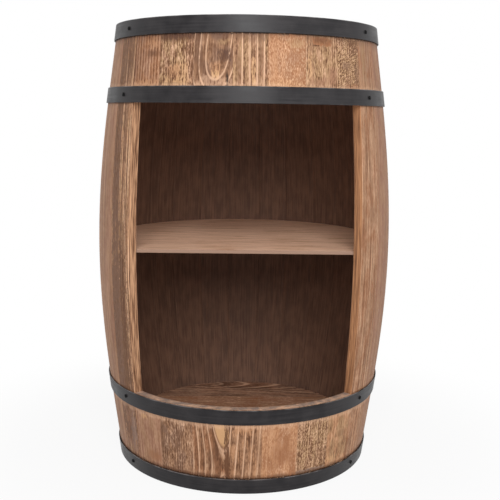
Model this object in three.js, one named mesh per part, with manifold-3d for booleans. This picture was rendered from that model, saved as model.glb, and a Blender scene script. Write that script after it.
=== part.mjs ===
// Barrel bar cabinet: a cask of bent staves with an open front, one shelf and four steel hoops.
// Millimetres, +Z up. The open front faces -Y and the origin is the middle of the footprint.
// Angles round the cask are measured from the front towards +X.

import * as THREE from 'three';
import { mergeVertices } from 'three/addons/utils/BufferGeometryUtils.js';
import Module from 'manifold-3d';

const wasm = await Module();
wasm.setup();

// Cask
const caskHeight = 800;
const endRadius = 236;
const bellyRadius = 274.5;
const endStraighteningShare = 0.31;
const staveThickness = 17;
const jointGap = 0.3;

// Staves round the cask, from the middle of the opening outwards on each side
const backStaveCount = 17;
const frontStaveWidthShares = [1, 1.05, 1.05, 0.92, 1.04, 1.04, 0.9];
const jambStaveWidthShare = 0.8;
const backStaveWidthShares = [1.02, 0.93, 1.06, 0.98, 1.04, 0.95];

// Stave ends: the bevelled chime and the croze groove that holds a head
const chimeHeight = 14;
const chimeCut = 8;
const crozeWidth = 8;
const crozeDepth = 5;
const crozeFlank = 1;

// Opening
const mouthHalfAngle = THREE.MathUtils.degToRad(50.8);
const mouthNarrowingShare = 0.09;
const sillHeight = 158;
const lintelDepth = 137;

// Heads
const headInset = 35;
const headThickness = 18;
const headBevel = 8;
const headFit = 0.5;
const tongueClearance = 0.2;
const headBoardCount = 4;

// Hoops: riveted flat strip whose ends lap at the back
const hoopWidth = 27;
const hoopThickness = 2;
const hoopFit = 0.65;
const hoopEndSetback = 1;
const hoopLintelCover = 1;
const lapFacets = 3;
const joggleFacets = 2;
const lapGap = 0.4;

// Shelf and its cleats
const shelfHeight = 415;
const shelfThickness = 6;
const shelfEdgeRadius = 1;
const shelfFit = 1;
const shelfSetback = 3;
const cleatHeight = 20;
const cleatDepth = 18;
const cleatHalfWidth = 27;
const cleatFit = 0.8;
const cleatGap = 0.3;
const cleatAngleShares = [0.1, 0.72];

// Nails that pin the hoops to the staves beside the opening
const nailHeadRadius = 3.5;
const nailHeadHeight = 1.6;
const nailShankRadius = 1.4;
const nailLength = 14;
const nailFit = 0.35;
const nailTipShare = 0.2;
const drillOverrun = 6;

// Facet counts
const staveFacets = 3;
const staveRows = 11;
const shortStaveRows = 2;
const roundFacets = 72;
const nailFacets = 8;
const shelfEdgeFacets = 2;

const shelfUnderside = shelfHeight - shelfThickness;
const lintelHeight = caskHeight - lintelDepth;
const bellyHeight = caskHeight / 2;

// The fullness of the cask at a height: 1 at the belly, 0 at both ends
function swell(z) {
  const u = (z - bellyHeight) / bellyHeight;
  return 1 - (1 + endStraighteningShare) * u ** 2 + endStraighteningShare * u ** 4;
}

function outerRadius(z) {
  return endRadius + (bellyRadius - endRadius) * swell(z);
}

function innerRadius(z) {
  return outerRadius(z) - staveThickness;
}

// Change of the outer radius with height, from the derivative of swell
function outerSlope(z) {
  const u = (z - bellyHeight) / bellyHeight;
  const change = -2 * (1 + endStraighteningShare) * u + 4 * endStraighteningShare * u ** 3;
  return ((bellyRadius - endRadius) * change) / bellyHeight;
}

// A joint's angle at a height. The staves over and under the opening are nearly parallel-sided,
// so the opening narrows in angle towards the belly and the other staves take up the rest.
function jointAngle(endAngle, z) {
  const mouth = mouthHalfAngle * (1 - mouthNarrowingShare * swell(z));
  if (Math.abs(endAngle) <= mouthHalfAngle) {
    return (endAngle / mouthHalfAngle) * mouth;
  }
  const fromBack = (Math.PI - mouth) / (Math.PI - mouthHalfAngle);
  return Math.PI + (endAngle - Math.PI) * fromBack;
}

// A point at a radius, an angle from the front and a height
function caskPoint(radius, angle, z) {
  return new THREE.Vector3(radius * Math.sin(angle), -radius * Math.cos(angle), z);
}

// Closed solid through rings of equally many points. Each ring runs out along one face and back
// along the other, anticlockwise as seen from the last ring, so its ends close as strips.
function loft(rings) {
  const points = rings.flat();
  const ringSize = rings[0].length;
  const lastRing = points.length - ringSize;
  const faces = [];
  function quad(a, b, c, d) {
    faces.push(a, b, c, a, c, d);
  }
  for (let start = 0; start < lastRing; start += ringSize) {
    for (let i = 0; i < ringSize; i += 1) {
      const next = (i + 1) % ringSize;
      quad(start + i, start + next, start + ringSize + next, start + ringSize + i);
    }
  }
  for (let i = 0; i < ringSize / 2 - 1; i += 1) {
    const across = ringSize - 1 - i;
    quad(across, across - 1, i + 1, i);
    quad(lastRing + i, lastRing + i + 1, lastRing + across - 1, lastRing + across);
  }
  const geometry = new THREE.BufferGeometry().setFromPoints(points);
  geometry.setIndex(faces);
  return geometry;
}

// Manifold solid of a closed geometry
function solidOf(geometry) {
  const bare = geometry.clone();
  bare.deleteAttribute('normal');
  bare.deleteAttribute('uv');
  const merged = mergeVertices(bare);
  const index = Array.from(merged.index.array);
  const corners = [];
  for (let i = 0; i < index.length; i += 3) {
    const [a, b, c] = index.slice(i, i + 3);
    if (a !== b && b !== c && c !== a) {
      corners.push(a, b, c);
    }
  }
  const vertProperties = Float32Array.from(merged.attributes.position.array);
  const triVerts = Uint32Array.from(corners);
  return new wasm.Manifold(new wasm.Mesh({ numProp: 3, vertProperties, triVerts }));
}

function geometryOf(solid) {
  const mesh = solid.getMesh();
  const geometry = new THREE.BufferGeometry();
  geometry.setAttribute('position', new THREE.BufferAttribute(mesh.vertProperties, mesh.numProp));
  geometry.setIndex(Array.from(mesh.triVerts));
  return geometry;
}

const cabinet = new THREE.Group();

function addPiece(name, geometry, material) {
  geometry.computeVertexNormals();
  const mesh = new THREE.Mesh(geometry, material);
  mesh.name = name;
  cabinet.add(mesh);
  return mesh;
}

// Stained pine, from dark walnut brown to golden tan
const darkPine = new THREE.Color(0x5a4030);
const goldenPine = new THREE.Color(0xa5764b);

function stainedPine(toneShare) {
  const color = darkPine.clone().lerp(goldenPine, toneShare);
  return new THREE.MeshStandardMaterial({ color, roughness: 0.65, flatShading: true });
}

// Black paint on steel
const blackPaint = new THREE.Color(0x3a3a3c);

function blackSteel() {
  const color = blackPaint.clone();
  return new THREE.MeshStandardMaterial({ color, roughness: 0.5, metalness: 0.8, flatShading: true });
}

// Nail positions, as transforms that put a nail's own +Z outwards and its origin under its head
const meanStaveAngle = (2 * mouthHalfAngle) / frontStaveWidthShares.length;
const jambWidth = jambStaveWidthShare * meanStaveAngle;
const nailEndAngle = mouthHalfAngle + jambWidth / 2;

function nailPlacement(side, z) {
  const angle = side * jointAngle(nailEndAngle, z);
  const outward = caskPoint(1, angle, -outerSlope(z)).normalize();
  const seat = outerRadius(z) + hoopFit + hoopThickness + nailFit;
  const turn = new THREE.Quaternion().setFromUnitVectors(new THREE.Vector3(0, 0, 1), outward);
  return new THREE.Matrix4().compose(caskPoint(seat, angle, z), turn, new THREE.Vector3(1, 1, 1));
}

function nailHole(placement) {
  const length = nailLength + nailFit + drillOverrun;
  const radius = nailShankRadius + nailFit;
  const hole = new THREE.CylinderGeometry(radius, radius, length, nailFacets);
  hole.rotateX(Math.PI / 2);
  hole.translate(0, 0, drillOverrun - length / 2);
  hole.applyMatrix4(placement);
  return solidOf(hole);
}

function drilled(geometry, placements) {
  let solid = solidOf(geometry);
  for (const placement of placements) {
    solid = solid.subtract(nailHole(placement));
  }
  return geometryOf(solid);
}

const hoopLowEdges = {
  bottom_hoop: hoopEndSetback,
  lower_bilge_hoop: sillHeight - hoopWidth,
  upper_bilge_hoop: lintelHeight - hoopLintelCover,
  top_hoop: caskHeight - hoopEndSetback - hoopWidth,
};
const hoopNames = Object.keys(hoopLowEdges);
const nailHeights = hoopNames.map((name) => hoopLowEdges[name] + hoopWidth / 2);

// Cuts in a stave's inner face near an end, as distance from the end and depth
const headMiddle = headInset + headThickness / 2;
const endCuts = [
  [0, chimeCut],
  [chimeHeight, 0],
  [headMiddle - crozeWidth / 2, 0],
  [headMiddle - crozeWidth / 2 + crozeFlank, crozeDepth],
  [headMiddle + crozeWidth / 2 - crozeFlank, crozeDepth],
  [headMiddle + crozeWidth / 2, 0],
];

// Heights up a stave, each with the depth cut into its inner face there
function staveLevels(low, high) {
  const levels = [];
  let plainLow = low;
  let plainHigh = high;
  if (low === 0) {
    levels.push(...endCuts);
    plainLow = headMiddle + crozeWidth / 2;
  } else {
    levels.push([low, 0]);
  }
  if (high === caskHeight) {
    plainHigh = caskHeight - headMiddle - crozeWidth / 2;
  }
  const isShort = low > 0 || high < caskHeight;
  const rows = isShort ? shortStaveRows : staveRows;
  for (let row = 1; row < rows; row += 1) {
    levels.push([THREE.MathUtils.lerp(plainLow, plainHigh, row / rows), 0]);
  }
  if (high === caskHeight) {
    const topCuts = endCuts.map(([distance, cut]) => [caskHeight - distance, cut]);
    levels.push(...topCuts.reverse());
  } else {
    levels.push([high, 0]);
  }
  return levels;
}

// One bent stave between two joints, with its croze and chime at each end that it reaches
function staveGeometry(fromAngle, toAngle, low, high) {
  const rings = staveLevels(low, high).map(([z, cut]) => {
    const start = jointAngle(fromAngle, z);
    const end = jointAngle(toAngle, z);
    function across(radius) {
      const inset = jointGap / 2 / radius;
      const row = [];
      for (let i = 0; i <= staveFacets; i += 1) {
        row.push(caskPoint(radius, THREE.MathUtils.lerp(start + inset, end - inset, i / staveFacets), z));
      }
      return row;
    }
    return [...across(outerRadius(z)), ...across(innerRadius(z) + cut).reverse()];
  });
  return loft(rings);
}

// Joint angles at the stave ends: from -mouthHalfAngle through the front, then round the back
function splitAngles(from, to, widthShares) {
  const total = widthShares.reduce((sum, share) => sum + share, 0);
  const angles = [from];
  let done = 0;
  for (const share of widthShares) {
    done += share;
    angles.push(from + ((to - from) * done) / total);
  }
  return angles;
}

const toneShares = [0.55, 0.2, 0.75, 0.4, 0.9, 0.3, 0.65, 0.1, 0.8, 0.5];

function staveTone(i) {
  return stainedPine(toneShares[i % toneShares.length]);
}

const frontJoints = splitAngles(-mouthHalfAngle, mouthHalfAngle, frontStaveWidthShares);
frontStaveWidthShares.forEach((share, i) => {
  const [from, to] = [frontJoints[i], frontJoints[i + 1]];
  addPiece(`upper_short_stave_${i + 1}`, staveGeometry(from, to, lintelHeight, caskHeight), staveTone(i));
  addPiece(`lower_short_stave_${i + 1}`, staveGeometry(from, to, 0, sillHeight), staveTone(i + 4));
});

const backStart = mouthHalfAngle + jambWidth;
const backWidths = [];
for (let i = 0; i < backStaveCount; i += 1) {
  backWidths.push(backStaveWidthShares[i % backStaveWidthShares.length]);
}
const backJoints = splitAngles(backStart, 2 * Math.PI - backStart, backWidths);
backWidths.forEach((width, i) => {
  const stave = staveGeometry(backJoints[i], backJoints[i + 1], 0, caskHeight);
  addPiece(`stave_${String(i + 1).padStart(2, '0')}`, stave, staveTone(i + 2));
});

for (const [side, name] of [[1, 'right_jamb_stave'], [-1, 'left_jamb_stave']]) {
  const inner = side > 0 ? mouthHalfAngle : 2 * Math.PI - backStart;
  const stave = staveGeometry(inner, inner + jambWidth, 0, caskHeight);
  const placements = nailHeights.map((z) => nailPlacement(side, z));
  addPiece(name, drilled(stave, placements), staveTone(side + 1));
}

// A hoop follows the taper of the staves. Its last stretch steps out over its first one.
function hoopGeometry(low) {
  const high = low + hoopWidth;
  const step = (2 * Math.PI) / roundFacets;
  const start = Math.PI - (lapFacets / 2) * step;
  const rings = [];
  for (let i = 0; i <= roundFacets + lapFacets; i += 1) {
    const climb = THREE.MathUtils.clamp((i - roundFacets + joggleFacets) / joggleFacets, 0, 1);
    const inside = hoopFit + climb * (hoopThickness + lapGap);
    const outside = inside + hoopThickness;
    const angle = start + i * step;
    rings.push([
      caskPoint(outerRadius(low) + inside, angle, low),
      caskPoint(outerRadius(high) + inside, angle, high),
      caskPoint(outerRadius(high) + outside, angle, high),
      caskPoint(outerRadius(low) + outside, angle, low),
    ]);
  }
  return loft(rings);
}

for (const name of hoopNames) {
  const low = hoopLowEdges[name];
  const placements = [-1, 1].map((side) => nailPlacement(side, low + hoopWidth / 2));
  addPiece(name, drilled(hoopGeometry(low), placements), blackSteel());
}

function nailGeometry() {
  const profile = [
    new THREE.Vector2(0, -nailLength),
    new THREE.Vector2(nailShankRadius, -nailLength * (1 - nailTipShare)),
    new THREE.Vector2(nailShankRadius, 0),
    new THREE.Vector2(nailHeadRadius, 0),
    new THREE.Vector2(nailHeadRadius * Math.SQRT1_2, nailHeadHeight * Math.SQRT1_2),
    new THREE.Vector2(0, nailHeadHeight),
  ];
  const nail = new THREE.LatheGeometry(profile, nailFacets);
  nail.rotateX(Math.PI / 2);
  return nail;
}

for (const name of hoopNames) {
  for (const [side, sideName] of [[-1, 'left'], [1, 'right']]) {
    const nail = addPiece(`${name}_${sideName}_nail`, geometryOf(solidOf(nailGeometry())), blackSteel());
    nail.applyMatrix4(nailPlacement(side, hoopLowEdges[name] + hoopWidth / 2));
  }
}

// A head is glued up from boards, turned round and bevelled to a tongue that sits in the crozes
function headSolid(middle) {
  const outerFace = middle > bellyHeight ? middle + headThickness / 2 : middle - headThickness / 2;
  const crozeEnds = [middle - crozeWidth / 2, middle + crozeWidth / 2];
  const rim = Math.min(...crozeEnds.map(innerRadius)) + crozeDepth - headFit;
  const shoulder = innerRadius(outerFace) - headFit;
  const tongue = crozeWidth - 2 * (crozeFlank + tongueClearance);
  const profile = [
    new THREE.Vector2(0, -headThickness / 2),
    new THREE.Vector2(shoulder - headBevel, -headThickness / 2),
    new THREE.Vector2(shoulder, -tongue / 2),
    new THREE.Vector2(rim, -tongue / 2),
    new THREE.Vector2(rim, tongue / 2),
    new THREE.Vector2(shoulder, tongue / 2),
    new THREE.Vector2(shoulder - headBevel, headThickness / 2),
    new THREE.Vector2(0, headThickness / 2),
  ];
  const disc = new THREE.LatheGeometry(profile, roundFacets);
  disc.rotateX(Math.PI / 2);
  disc.translate(0, 0, middle);
  return { solid: solidOf(disc), rim };
}

for (const [name, middle] of [['bottom_head', headMiddle], ['top_head', caskHeight - headMiddle]]) {
  const head = headSolid(middle);
  const boardWidth = (2 * head.rim) / headBoardCount;
  for (let i = 0; i < headBoardCount; i += 1) {
    const strip = new THREE.BoxGeometry(3 * head.rim, boardWidth - jointGap, 2 * headThickness);
    strip.translate(0, boardWidth * (i + 0.5) - head.rim, middle);
    const board = head.solid.intersect(solidOf(strip));
    addPiece(`${name}_board_${i + 1}`, geometryOf(board), staveTone(i + 1));
  }
}

// The shelf fills the cask at its height and stops just behind the edges of the opening
function shelfGeometry() {
  const radius = Math.min(innerRadius(shelfHeight), innerRadius(shelfUnderside)) - shelfFit;
  const mouthEdge = innerRadius(shelfHeight) * Math.cos(jointAngle(mouthHalfAngle, shelfHeight));
  const front = mouthEdge - shelfSetback;
  const frontAngle = Math.asin(front / radius);
  const outline = new THREE.Shape();
  outline.absarc(0, 0, radius - shelfEdgeRadius, -frontAngle, Math.PI + frontAngle, false);
  outline.closePath();
  const board = new THREE.ExtrudeGeometry(outline, {
    depth: shelfThickness - 2 * shelfEdgeRadius,
    bevelEnabled: true,
    bevelThickness: shelfEdgeRadius,
    bevelSize: shelfEdgeRadius,
    bevelSegments: shelfEdgeFacets,
    curveSegments: roundFacets / 2,
  });
  board.translate(0, 0, shelfUnderside + shelfEdgeRadius);
  return geometryOf(solidOf(board));
}

addPiece('shelf', shelfGeometry(), stainedPine(1));

// A cleat under the shelf, its back shaped to the staves
function cleatGeometry(endAngle) {
  const high = shelfUnderside - cleatGap;
  const rings = [high - cleatHeight, high].map((z) => {
    const middle = jointAngle(endAngle, z);
    const back = innerRadius(z) - cleatFit;
    const half = cleatHalfWidth / back;
    function across(radius) {
      const row = [];
      for (let i = 0; i <= staveFacets; i += 1) {
        row.push(caskPoint(radius, THREE.MathUtils.lerp(middle - half, middle + half, i / staveFacets), z));
      }
      return row;
    }
    return [...across(back), ...across(back - cleatDepth).reverse()];
  });
  return loft(rings);
}

const cleatAngles = cleatAngleShares.map((share) => THREE.MathUtils.lerp(mouthHalfAngle, Math.PI, share));
const cleatSpots = [...cleatAngles, ...cleatAngles.map((angle) => 2 * Math.PI - angle).reverse()];
cleatSpots.forEach((angle, i) => {
  addPiece(`shelf_cleat_${i + 1}`, cleatGeometry(angle), stainedPine(0.5));
});

const footprint = new THREE.Box3().setFromObject(cabinet);
const middle = footprint.getCenter(new THREE.Vector3());
cabinet.position.set(-middle.x, -middle.y, 0);

export default cabinet;
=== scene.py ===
"""Barrel bar cabinet: stained pine staves, black steel hoops, a shelf and recessed heads.

Metres, +Z up, the open front faces -Y. Angles round the cask are measured from the front
towards +X. Wood is described in millimetres on the board that it is cut from: across the board,
depth under its outer face, and height along it.
"""

import math
import random
from typing import NamedTuple

import bmesh
import bpy
import numpy as np
from mathutils import Matrix, Vector


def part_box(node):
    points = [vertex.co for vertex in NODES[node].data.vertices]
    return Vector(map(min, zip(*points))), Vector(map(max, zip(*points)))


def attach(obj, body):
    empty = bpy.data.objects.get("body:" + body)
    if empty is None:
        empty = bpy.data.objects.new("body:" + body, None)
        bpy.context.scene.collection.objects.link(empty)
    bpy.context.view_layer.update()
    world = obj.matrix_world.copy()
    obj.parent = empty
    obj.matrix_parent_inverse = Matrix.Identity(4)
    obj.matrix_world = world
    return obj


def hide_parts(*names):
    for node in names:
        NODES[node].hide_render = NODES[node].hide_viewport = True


bl_info = {
    "name": "Barrel Bar Cabinet",
    "version": (1, 0, 0),
    "blender": (4, 5, 0),
    "location": "View3D > Sidebar > Cabinet",
    "description": "Dresses the packed barrel bar cabinet in stained pine and black steel",
    "category": "Object",
}

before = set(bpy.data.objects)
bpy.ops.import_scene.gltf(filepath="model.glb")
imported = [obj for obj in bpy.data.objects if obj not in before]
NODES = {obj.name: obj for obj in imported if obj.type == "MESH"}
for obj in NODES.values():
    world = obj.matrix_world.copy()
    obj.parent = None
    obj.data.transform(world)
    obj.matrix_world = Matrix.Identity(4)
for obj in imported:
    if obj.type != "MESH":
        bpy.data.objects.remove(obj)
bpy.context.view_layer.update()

BODY = "root"
MILLIMETRES = 1000.0
RIGHT, BACK, UP = Vector((1, 0, 0)), Vector((0, 1, 0)), Vector((0, 0, 1))

LONG_STAVES = sorted(n for n in NODES if n.startswith("stave_") or n.endswith("_jamb_stave"))
SHORT_STAVES = sorted(n for n in NODES if "_short_stave_" in n)
HOOPS = sorted(n for n in NODES if n.endswith("_hoop"))
NAILS = sorted(n for n in NODES if n.endswith("_nail"))
HEAD_BOARDS = sorted(n for n in NODES if "_head_board_" in n)
CLEATS = sorted(n for n in NODES if n.startswith("shelf_cleat_"))


# What the frame measures

# Measures of a solid that differ by less than these belong to one face, or to one point of it
SAME_FACE = 1e-4
SAME_POINT = 1e-5


def points_of(name):
    """The distinct vertices of a CAD node, in metres."""
    mesh = NODES[name].data
    flat = np.empty(3 * len(mesh.vertices), np.float32)
    mesh.vertices.foreach_get("co", flat)
    return np.unique(flat.reshape(-1, 3).round(6), axis=0).astype(float)


def axis_depth():
    """Where the cask's axis lies along Y: the middle of the round bottom head."""
    boards = [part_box(name) for name in HEAD_BOARDS if name.startswith("bottom")]
    return (min(low.y for low, high in boards) + max(high.y for low, high in boards)) / 2


AXIS_Y = axis_depth()


def cask_coordinates(name):
    """Radius, angle and height of each vertex of a node, the angles without a jump inside it."""
    points = points_of(name)
    x, y, height = points[:, 0], points[:, 1] - AXIS_Y, points[:, 2]
    middle = math.atan2(x.mean(), -y.mean())
    turn = (np.arctan2(x, -y) - middle + math.pi) % (2 * math.pi) - math.pi
    return np.hypot(x, y), turn + middle, height


def stave_levels(name):
    """Height, outer radius, inner radius and both joint angles at each row of a stave's solid."""
    radius, angle, height = cask_coordinates(name)
    level_of = height.round(5)
    corners_in_a_row = 8
    rows = []
    for level in np.unique(level_of):
        here = level_of == level
        if here.sum() >= corners_in_a_row:
            outer = radius[here].max()
            face = angle[here][radius[here] > outer - SAME_FACE]
            rows.append((level, outer, radius[here].min(), face.min(), face.max()))
    return np.array(rows)


class Cask:
    """The smooth outline of the staves, a hair inside the corners of the CAD's flats."""

    hair = 0.00045

    def __init__(self):
        heights, radii = np.vstack([stave_levels(name)[:, :2] for name in LONG_STAVES]).T
        self.height = float(heights.max())
        self.outline = np.polynomial.Polynomial.fit(heights, radii, 4)
        self.steepness = self.outline.deriv()

    def radius(self, height):
        return float(self.outline(height)) - self.hair

    def outward(self, angle, height):
        """The direction square to the outer face."""
        lean = -float(self.steepness(height))
        return Vector((math.sin(angle), -math.cos(angle), lean)).normalized()

    def point(self, radius, angle, height):
        return Vector((radius * math.sin(angle), AXIS_Y - radius * math.cos(angle), height))


cask = Cask()


def heights_of(name):
    low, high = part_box(name)
    return low.z, high.z


# Settings


def setting(kind, **fixed):
    """A maker of settings of one kind, each from a name, a description and a default."""

    def make(name, description, default):
        return kind(name=name, description=description, default=default, **fixed)

    return make


# Tones are as they look on a screen
tone = setting(bpy.props.FloatVectorProperty, subtype="COLOR_GAMMA", min=0.0, max=1.0)
place = setting(bpy.props.FloatVectorProperty, subtype="XYZ", unit="LENGTH")
length = setting(bpy.props.FloatProperty, unit="LENGTH", precision=5, min=0.0)
lens = setting(bpy.props.FloatProperty, subtype="DISTANCE_CAMERA")
angle = setting(bpy.props.FloatProperty, subtype="ANGLE")
share = setting(bpy.props.FloatProperty, subtype="FACTOR", min=0.0, max=1.0)
power = setting(bpy.props.FloatProperty, unit="POWER", min=0.0)
count = setting(bpy.props.IntProperty, min=1)


class StaveSettings(bpy.types.PropertyGroup):
    arris: length("Arris", "Radius of the eased long edges", 0.0006)
    end_arris: length("End arris", "Radius of the eased edges at a stave's ends", 0.0012)
    joint: length("Joint", "Gap left between two staves", 0.00004)
    flatness: length("Flatness", "How far the middle of a face lies under the round", 0.0003)
    row_height: length("Row height", "Tallest row of the mesh", 0.012)
    face_columns: count("Face columns", "Columns of the mesh across a face", 8)
    edge_columns: count("Edge columns", "Columns of the mesh round an arris", 3)


class PineSettings(bpy.types.PropertyGroup):
    cream: tone("Cream", "Bare latewood ridges, and wood paled beside a hoop", (0.885, 0.715, 0.59))
    honey: tone("Honey", "Golden wood that took little stain", (0.83, 0.65, 0.475))
    gold: tone("Gold", "Golden tan", (0.75, 0.555, 0.41))
    olive: tone("Olive", "Yellowish tan", (0.69, 0.545, 0.40))
    tan: tone("Tan", "Common stained wood", (0.645, 0.485, 0.37))
    rust: tone("Rust", "Orange-brown stained wood", (0.61, 0.415, 0.29))
    blush: tone("Blush", "Pinkish brown stained wood", (0.62, 0.45, 0.355))
    smoke: tone("Smoke", "Grey-brown stained wood", (0.50, 0.375, 0.305))
    # Umber and plum also paint the shade beside the hoops
    umber: tone("Umber", "Earlywood that drank the stain", (0.40, 0.265, 0.185))
    plum: tone("Plum", "The darkest purple-brown stain", (0.33, 0.22, 0.175))
    mauve: tone("Mauve", "Grey of end faces and dull patches", (0.585, 0.515, 0.48))
    copper: tone("Copper", "Left cut face beside the opening, and rosy patches", (0.83, 0.64, 0.495))
    amber: tone("Amber", "Right cut face beside the opening", (0.80, 0.575, 0.41))
    # Soot also paints the thin shadow lines under the top hoop and over the bottom hoop
    soot: tone("Soot", "Cracks and dirt", (0.17, 0.11, 0.08))
    # The hollow tone is darker than the wood, a painted shade on the inside faces
    hollow: tone("Hollow", "Inside faces of the staves", (0.40, 0.30, 0.25))
    # The shelf's tone is painted pale for painted light on its top, and the next tone is painted shade
    # on its front edge
    shelf: tone("Shelf", "Pinkish tan of the shelf", (0.96, 0.79, 0.68))
    lipping: tone("Lipping", "Front edge of the shelf", (0.61, 0.49, 0.42))
    relief: length("Relief", "How far brushed latewood stands out", 0.0004)
    roughness: share("Roughness", "Roughness of the matte stain", 0.6)
    gloss: share("Gloss", "How strongly the stain reflects", 0.15)
    head_arris: length("Head arris", "Radius of the head boards' eased edges", 0.0006)
    cleat_arris: length("Cleat arris", "Radius of the cleats' eased edges", 0.0008)


class HoopSettings(bpy.types.PropertyGroup):
    edge: length("Edge", "Radius of the strip's rolled edges", 0.0005)
    strip: length("Strip", "Thickness of the strip", 0.002)
    steps: count("Steps", "Steps of the mesh round the cask", 160)
    rows: count("Rows", "Rows of the mesh up the strip", 4)
    rivet_radius: length("Rivet radius", "Radius of a lap rivet's head", 0.0042)
    rivet_rise: length("Rivet rise", "Height of a lap rivet's head", 0.0014)
    rivet_steps: count("Rivet steps", "Steps of the mesh round a rivet", 20)
    paint: tone("Paint", "Matte black paint", (0.108, 0.098, 0.108))
    # The rub tone greys the strips' edges as wear and as a painted highlight
    rub: tone("Rub", "Paint rubbed grey along the edges", (0.47, 0.45, 0.45))
    roughness: share("Roughness", "Roughness of the paint", 0.42)
    gloss: share("Gloss", "How strongly the paint reflects", 0.24)
    end_setback: length("End setback", "How far an end hoop's edge lies inside the cask's end", 0.0003)
    # How far the edge grey reaches, and how little the lower edge takes: on the upper edges it is a
    # painted highlight as well as wear
    rub_reach: length("Rub reach", "How far down its face a strip is rubbed", 0.0008)
    low_rub: share("Low rub", "How much a strip's lower edge is rubbed next to its upper edge", 0.1)


class NailSettings(bpy.types.PropertyGroup):
    steps: count("Steps", "Steps of the mesh round a nail", 24)
    paint: tone("Paint", "Black of the nail heads", (0.03, 0.03, 0.03))
    rub: tone("Rub", "Black rubbed a little grey", (0.06, 0.06, 0.06))
    roughness: share("Roughness", "Roughness of the nail heads", 0.5)
    gloss: share("Gloss", "How strongly the nail heads reflect", 0.1)


class StageSettings(bpy.types.PropertyGroup):
    camera_place: place("Camera place", "Where the camera stands", (-0.02037, -1.59451, 0.64605))
    camera_heading: angle("Camera heading", "Turn of the view towards +X", math.radians(1.157))
    camera_pitch: angle("Camera pitch", "How far the camera looks down", math.radians(9.262))
    camera_roll: angle("Camera roll", "Turn about the line of sight", math.radians(0.788))
    camera_lens: lens("Lens", "Focal length, in millimetres", 60.144)
    floor: tone("Floor", "Plain pale floor", (0.9, 0.9, 0.9))
    floor_lift: share("Floor lift", "How far the floor is lifted to white by the cabinet", 0.9)
    floor_near: length("Shadow reach", "Where the floor starts to fade to white", 0.35)
    floor_far: length("White floor", "Where the floor is white", 0.75)
    sky: share("Sky", "Strength of the even light from all round", 0.42)
    key: power("Key", "Large soft light above the camera", 57.0)
    key_place: place("Key place", "Where the key light hangs", (0.05, -2.55, 1.85))
    key_size: length("Key size", "Side of the key light", 1.6)
    fill: power("Fill", "Soft light from the right", 10.0)
    fill_place: place("Fill place", "Where the fill light hangs", (2.3, -1.7, 1.3))
    fill_size: length("Fill size", "Side of the fill light", 1.7)


# Shader maths

# How far a seed moves a noise along each axis, and how rough the noises are
SEED_MOVE = (1.0, 1.7, 0.6)
NOISE_ROUGHNESS = 0.55


def adds_node(operation, reflected=False):
    """A method that adds a Math node, with the value itself as its first or its last term."""

    def method(value, *others):
        terms = (*others, value) if reflected else (value, *others)
        inputs = dict(enumerate(terms))
        return value.shader.node("ShaderNodeMath", {"operation": operation}, inputs)

    return method


class Value:
    """A node's output. Arithmetic on it adds Math nodes."""

    __add__, __radd__ = adds_node("ADD"), adds_node("ADD", reflected=True)
    __sub__, __rsub__ = adds_node("SUBTRACT"), adds_node("SUBTRACT", reflected=True)
    __mul__, __rmul__ = adds_node("MULTIPLY"), adds_node("MULTIPLY", reflected=True)
    __truediv__, __rtruediv__ = adds_node("DIVIDE"), adds_node("DIVIDE", reflected=True)
    __pow__, __rpow__ = adds_node("POWER"), adds_node("POWER", reflected=True)
    __abs__ = adds_node("ABSOLUTE")
    fraction = adds_node("FRACT")
    greater_of = adds_node("MAXIMUM")

    def __init__(self, shader, socket):
        self.shader = shader
        self.socket = socket

    def clamped(self):
        return self.shader.node("ShaderNodeClamp", {}, {"Value": self})

    def rise(self, low, high):
        """0 up to low, 1 from high, and a smooth step between them."""
        settings = {"interpolation_type": "SMOOTHSTEP"}
        inputs = {"Value": self, "From Min": low, "From Max": high}
        return self.shader.node("ShaderNodeMapRange", settings, inputs)


def linear(colour):
    """Scene colour of a colour as it looks on a screen."""
    toe = 0.04045
    channels = [c / 12.92 if c <= toe else ((c + 0.055) / 1.055) ** 2.4 for c in colour]
    return (*channels, 1.0)


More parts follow.
